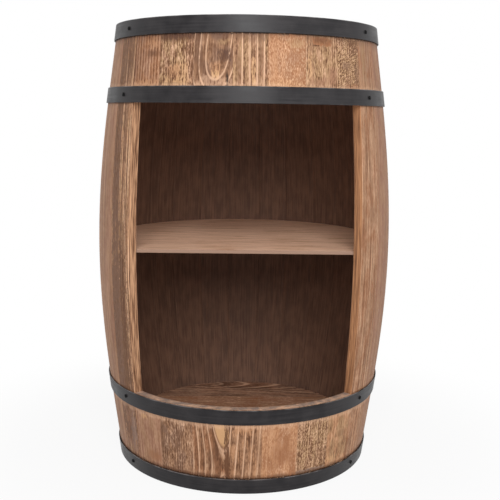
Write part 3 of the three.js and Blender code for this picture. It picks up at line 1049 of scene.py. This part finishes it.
class Hoop:
    """A hoop's measures: its edges, how far it stands off the staves, and where its ends lap."""

    def __init__(self, name, sizes):
        self.sizes = sizes
        self.low, self.high = heights_of(name)
        radius, turn, height = cask_coordinates(name)
        on_edge = np.minimum(np.abs(height - self.low), np.abs(height - self.high)) < SAME_FACE
        stand = radius[on_edge] - cask.outline(height[on_edge])
        self.fit = float(stand.min())
        self.climb = float(stand.max()) - self.fit - sizes.strip
        turn = turn[on_edge] % (2 * math.pi)
        lapped = turn[stand > self.fit + self.climb + sizes.strip - SAME_FACE]
        self.lap_start, self.lap_end = float(lapped.min()), float(lapped.max())
        # The top hoop's edge stays just inside the cask's end
        if cask.height - self.high < sizes.strip:
            self.high = cask.height - sizes.end_setback

    def corner(self, height, stand, quarter, rub):
        """A rolled edge round a point of the strip's section, from one of the four quarters on."""
        edge = self.sizes.edge
        turns = [math.pi / 2 * (quarter + i / CORNER_STEPS) for i in range(CORNER_STEPS + 1)]
        return [(height + edge * math.sin(a), stand + edge * math.cos(a), rub) for a in turns]

    def profile(self):
        """The strip's section: height and distance from the staves, with how much each point is greyed
        by wear and painted highlight.
        """
        sizes = self.sizes
        below, above = self.low + sizes.edge, self.high - sizes.edge
        near, far = sizes.edge, sizes.strip - sizes.edge
        up = np.linspace(below + sizes.rub_reach, above - sizes.rub_reach, sizes.rows + 1)
        # Lower edges take little grey and upper edges all of it: wear plus a painted highlight along
        # the upper edges
        points = [
            *self.corner(below, near, 2, sizes.low_rub),
            *self.corner(below, far, 3, sizes.low_rub),
            *((height, sizes.strip, 0.0) for height in up),
            *self.corner(above, far, 0, 1.0),
            *self.corner(above, near, 1, 1.0),
            *((height, 0.0, 0.0) for height in up[::-1]),
        ]
        return points[::-1]

    def mesh(self, name):
        profile = self.profile()
        whole = 2 * math.pi
        total = whole + self.lap_end - self.lap_start
        steps = round(self.sizes.steps * total / whole)
        rings = []
        for turned in np.linspace(0.0, total, steps + 1):
            step_out = np.clip((turned - whole + JOGGLE) / JOGGLE, 0, 1)
            lift = self.fit + self.climb * (step_out**2 * (3 - 2 * step_out))
            at = self.lap_start + turned
            rings.append([cask.point(cask.radius(z) + lift + r, at, z) for z, r, rub in profile])
        return ring_mesh(name, rings, [rub for z, r, rub in profile] * len(rings))

    def rivets(self, name):
        """The rivets through the lap, one over the other."""
        sizes = self.sizes
        middle = (self.lap_start + self.lap_end) / 2
        stand = self.fit + self.climb + sizes.strip
        work = bmesh.new()
        for up in RIVET_SHARES:
            height = self.low + up * (self.high - self.low)
            at = cask.point(cask.radius(height) + stand, middle, height)
            upright = placement(at, cask.outward(middle, height))
            add_dome(work, upright, sizes.rivet_radius, sizes.rivet_rise, sizes.rivet_steps)
        return domes_mesh(name, work)


def placement(at, outward):
    """What turns +Z outward and puts the origin at a point."""
    turn = UP.rotation_difference(outward)
    return Matrix.Translation(at) @ turn.to_matrix().to_4x4()


def add_dome(work, placed, radius, rise, steps, shank=0.0, shank_radius=0.0):
    """Adds a domed head that stands on its origin, with its shank under it if it has one."""
    arc = [math.pi / 2 * i / DOME_ROWS for i in range(DOME_ROWS)]
    profile = [(radius * math.cos(a), rise * math.sin(a)) for a in arc]
    # A head without a shank closes just under its rim
    foot_height = -rise / 4
    if shank:
        profile = [(shank_radius, -shank * TIP_SHARE), (shank_radius, 0.0), *profile]
        foot_height = -shank

    def point(r, turn, z):
        return work.verts.new(placed @ Vector((r * math.cos(turn), r * math.sin(turn), z)))

    turns = [2 * math.pi * i / steps for i in range(steps)]
    rows = [[point(r, turn, z) for turn in turns] for r, z in profile]
    crown, foot = point(0, 0, rise), point(0, 0, foot_height)
    for i in range(steps):
        after = (i + 1) % steps
        for low, high in zip(rows, rows[1:]):
            work.faces.new((low[i], low[after], high[after], high[i]))
        work.faces.new((rows[-1][i], rows[-1][after], crown))
        work.faces.new((rows[0][after], rows[0][i], foot))


def domes_mesh(name, work):
    mesh = bpy.data.meshes.new(name)
    work.to_mesh(mesh)
    work.free()
    shaded(mesh, DOME_CREASE)
    return mesh


def nail_mesh(name, steps):
    """A nail as the CAD has it, with a smooth head."""
    points = points_of(name)
    radius = np.hypot(points[:, 0], points[:, 1] - AXIS_Y)
    tip, crown = Vector(points[radius.argmin()]), Vector(points[radius.argmax()])
    outward = (crown - tip).normalized()
    along = (points - np.array(tip)) @ np.array(outward)
    wide = np.linalg.norm(points - np.array(tip) - np.outer(along, outward), axis=1)
    seat = float(along[wide > wide.max() - SAME_POINT].mean())
    on_shank = (along > 0.1 * seat) & (along < 0.9 * seat)
    shank = float(wide[on_shank].max())
    rise = (crown - tip).length - seat
    work = bmesh.new()
    placed = placement(tip + outward * seat, outward)
    add_dome(work, placed, float(wide.max()), rise, steps, seat, shank)
    return domes_mesh(name, work)


# Wood pieces

# Each piece takes its own part of the noises, by a seed of its kind and its number among them
STAVE_SEED, STAVE_SEED_STEP = 3.1, 10
HEAD_SEED, HEAD_SEED_STEP = 400.0, 7
CLEAT_SEED, CLEAT_SEED_STEP = 700.0, 5
SHELF_SEED = 611.0
# How far behind the shelf's front its painted shade on the front edge starts and ends to turn into its
# top, in millimetres
FRONT_SHADE_FROM, FRONT_SHADE_TO = 0.3, 1.3
# The CAD's corners are joined over this distance, and its edges eased from this angle on
WELD = 1e-6
EASED_FROM = math.radians(30)


def build_staves(names, scene):
    for number, name in enumerate(names):
        board = FRONT_BOARDS.get(name) or common_board(name)
        seed = STAVE_SEED + STAVE_SEED_STEP * number
        wood = stave_wood(f"{name}_pine", board, scene.cabinet_pine, seed)
        mesh = Stave(name, scene.cabinet_staves).mesh(name)
        new_piece(f"{name}_board", mesh, wood, [name])


def finish_node(name, material):
    """Gives a CAD node that stays in view its own material."""
    for slot in NODES[name].material_slots:
        slot.material = material


def finish_board(name, middle, across, along, board, pine, seed, arris):
    """Gives a board that stays in view its own wood and eased edges."""
    grain = plank_grain(middle, across, along)
    finish_node(name, plank_wood(f"{name}_pine", board, pine, grain, seed))
    node = NODES[name]
    node.modifiers.new("weld", "WELD").merge_threshold = WELD
    bevel = node.modifiers.new("arris", "BEVEL")
    bevel.width = arris
    bevel.segments = 2
    bevel.limit_method = "ANGLE"
    bevel.angle_limit = EASED_FROM


# Stage

# The height that the lights look at, as a share of the cabinet's
LIT_SHARE = 0.55


def seen_white(shader):
    """1 for what the camera sees straight on, in a gloss or through glass."""
    rays = ("Is Camera Ray", "Is Glossy Ray", "Is Transmission Ray")
    camera, glossy, through = shader.outputs("ShaderNodeLightPath", {}, rays)
    return camera.greater_of(glossy).greater_of(through)


def make_floor(stage):
    reach = 6.0
    corners = [(-reach, -reach, 0), (reach, -reach, 0), (reach, reach, 0), (-reach, reach, 0)]
    mesh = bpy.data.meshes.new("floor")
    mesh.from_pydata(corners, [], [(0, 1, 2, 3)])
    shader = Shader(bpy.data.materials.new("pale_floor"))
    matte = shader.node("ShaderNodeBsdfDiffuse", {}, {"Color": linear(stage.floor)})
    white = shader.node("ShaderNodeEmission", {}, {"Strength": 1.0})
    x, y, _ = shader.split(shader.here())
    away = ((x * x + y * y) ** 0.5).rise(stage.floor_near, stage.floor_far)
    lift = seen_white(shader) * (away * (1 - stage.floor_lift) + stage.floor_lift)
    seen = shader.node("ShaderNodeMixShader", {}, {0: lift, 1: matte, 2: white})
    mesh.materials.append(shader.finish(seen))
    in_scene("floor", mesh)


def make_surroundings(scene, stage):
    scene.world = bpy.data.worlds.new("soft_surroundings")
    shader = Shader(scene.world)
    strength = seen_white(shader) * (1 - stage.sky) + stage.sky
    light = shader.node("ShaderNodeBackground", {}, {"Color": (1, 1, 1, 1), "Strength": strength})
    shader.finish(light, "ShaderNodeOutputWorld")


def soft_light(name, at, size, watts):
    """A square light that hangs at a point and looks at the cabinet's middle."""
    light = bpy.data.lights.new(name, "AREA")
    light.shape = "SQUARE"
    light.size = size
    light.energy = watts
    lamp = in_scene(name, light)
    lamp.location = at
    target = Vector((0.0, AXIS_Y, cask.height * LIT_SHARE))
    lamp.rotation_euler = (target - lamp.location).to_track_quat("-Z", "Y").to_euler()


def make_camera(scene, stage):
    camera = bpy.data.cameras.new("camera")
    camera.lens = stage.camera_lens
    camera.sensor_width = 36.0
    holder = in_scene("camera", camera)
    heading = Matrix.Rotation(-stage.camera_heading, 4, "Z")
    pitch = Matrix.Rotation(math.pi / 2 - stage.camera_pitch, 4, "X")
    roll = Matrix.Rotation(stage.camera_roll, 4, "Z")
    holder.matrix_world = Matrix.Translation(stage.camera_place) @ heading @ pitch @ roll
    scene.camera = holder


# Operators


class CABINET_OT_long_staves(bpy.types.Operator):
    """Build the full-height staves round the sides and the back"""

    bl_idname = "cabinet.long_staves"
    bl_label = "Long Staves"

    def execute(self, context):
        build_staves(LONG_STAVES, context.scene)
        return {"FINISHED"}


class CABINET_OT_short_staves(bpy.types.Operator):
    """Build the short staves above and below the opening"""

    bl_idname = "cabinet.short_staves"
    bl_label = "Short Staves"

    def execute(self, context):
        build_staves(SHORT_STAVES, context.scene)
        return {"FINISHED"}


class CABINET_OT_hoops(bpy.types.Operator):
    """Build the steel hoops, with the rivets of their laps"""

    bl_idname = "cabinet.hoops"
    bl_label = "Hoops"

    def execute(self, context):
        sizes = context.scene.cabinet_hoops
        paint = black_paint("black_hoop_paint", sizes)
        for name in HOOPS:
            hoop = Hoop(name, sizes)
            rivets = f"{name}_rivets"
            new_piece(f"{name}_strip", hoop.mesh(name), paint, [name])
            new_piece(rivets, hoop.rivets(rivets), paint)
        return {"FINISHED"}


class CABINET_OT_nails(bpy.types.Operator):
    """Build the round-headed nails that pin the hoops beside the opening"""

    bl_idname = "cabinet.nails"
    bl_label = "Nails"

    def execute(self, context):
        settings = context.scene.cabinet_nails
        paint = black_paint("nail_black", settings)
        for name in NAILS:
            mesh = nail_mesh(name, settings.steps)
            new_piece(f"{name}_round", mesh, paint, [name])
        return {"FINISHED"}


class CABINET_OT_heads(bpy.types.Operator):
    """Ease the edges of the boards of both heads and give each its own wood"""

    bl_idname = "cabinet.heads"
    bl_label = "Heads"

    def execute(self, context):
        pine = context.scene.cabinet_pine
        for number, name in enumerate(HEAD_BOARDS):
            low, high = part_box(name)
            middle = (0.0, (low.y + high.y) / 2, high.z)
            board = common_board(name)._replace(level=0.0, lean=(0.02, 0.12), dark=0.1)
            seed = HEAD_SEED + HEAD_SEED_STEP * number
            finish_board(name, middle, BACK, RIGHT, board, pine, seed, pine.head_arris)
        return {"FINISHED"}


class CABINET_OT_shelf(bpy.types.Operator):
    """Give the shelf its pinkish tan wood, paler on top as painted light and darker on its front edge
    as painted shade
    """

    bl_idname = "cabinet.shelf"
    bl_label = "Shelf"

    def execute(self, context):
        low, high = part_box("shelf")
        grain = plank_grain((0.0, 0.0, high.z), BACK, RIGHT)
        board = PLAIN._replace(
            body="shelf", second="shelf", deep="gold", level=0.0, pith=(40.0, 150.0), line=5.0,
            run=120.0, streak=0.6, fleck=0.08, blotch=0.1, early=0.1, ridge=0.0,
        )
        wood = Pine("shelf_wood", board, context.scene.cabinet_pine, grain, SHELF_SEED)
        # The front edge takes a darker tone and the top a paler one: painted shade and painted light
        front = low.y * MILLIMETRES
        behind_edge = wood.across.rise(front + FRONT_SHADE_FROM, front + FRONT_SHADE_TO)
        colour = wood.shader.mix(behind_edge, wood.tone("lipping"), wood.colour())
        finish_node("shelf", wood.finished(colour))
        return {"FINISHED"}


class CABINET_OT_cleats(bpy.types.Operator):
    """Ease the edges of the cleats under the shelf and give them their wood"""

    bl_idname = "cabinet.cleats"
    bl_label = "Cleats"

    def execute(self, context):
        pine = context.scene.cabinet_pine
        board = PLAIN._replace(body="tan", deep="umber", level=0.0, dark=0.3)
        for number, name in enumerate(CLEATS):
            low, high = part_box(name)
            middle = (low + high) / 2
            outward = Vector((middle.x, middle.y - AXIS_Y, 0)).normalized()
            along = UP.cross(outward)
            seed = CLEAT_SEED + CLEAT_SEED_STEP * number
            finish_board(name, middle, UP, along, board, pine, seed, pine.cleat_arris)
        return {"FINISHED"}


class CABINET_OT_stage(bpy.types.Operator):
    """Set up the floor, the soft lights, the white surroundings and the camera"""

    bl_idname = "cabinet.stage"
    bl_label = "Stage"

    def execute(self, context):
        scene, stage = context.scene, context.scene.cabinet_stage
        make_floor(stage)
        make_surroundings(scene, stage)
        soft_light("key_light", stage.key_place, stage.key_size, stage.key)
        soft_light("fill_light", stage.fill_place, stage.fill_size, stage.fill)
        make_camera(scene, stage)
        scene.view_settings.view_transform = "Standard"
        return {"FINISHED"}


OPERATORS = (
    CABINET_OT_long_staves,
    CABINET_OT_short_staves,
    CABINET_OT_hoops,
    CABINET_OT_nails,
    CABINET_OT_heads,
    CABINET_OT_shelf,
    CABINET_OT_cleats,
    CABINET_OT_stage,
)

SETTINGS = {
    "cabinet_staves": StaveSettings,
    "cabinet_pine": PineSettings,
    "cabinet_hoops": HoopSettings,
    "cabinet_nails": NailSettings,
    "cabinet_stage": StageSettings,
}


class CABINET_PT_panel(bpy.types.Panel):
    """Lists the pieces of the cabinet and their settings"""

    bl_label = "Barrel Bar Cabinet"
    bl_idname = "CABINET_PT_panel"
    bl_space_type = "VIEW_3D"
    bl_region_type = "UI"
    bl_category = "Cabinet"

    def draw(self, context):
        for operator in OPERATORS:
            self.layout.operator(operator.bl_idname)
        for name, group in SETTINGS.items():
            box = self.layout.box()
            for field in group.__annotations__:
                box.prop(getattr(context.scene, name), field)


CLASSES = (*SETTINGS.values(), *OPERATORS, CABINET_PT_panel)


def register():
    for made in CLASSES:
        bpy.utils.register_class(made)
    for name, group in SETTINGS.items():
        setattr(bpy.types.Scene, name, bpy.props.PointerProperty(type=group))


def unregister():
    for name in SETTINGS:
        delattr(bpy.types.Scene, name)
    for made in reversed(CLASSES):
        bpy.utils.unregister_class(made)


def main():
    register()
    bpy.ops.cabinet.long_staves()
    bpy.ops.cabinet.short_staves()
    bpy.ops.cabinet.hoops()
    bpy.ops.cabinet.nails()
    bpy.ops.cabinet.heads()
    bpy.ops.cabinet.shelf()
    bpy.ops.cabinet.cleats()
    bpy.ops.cabinet.stage()


if __name__ == "__main__":
    main()
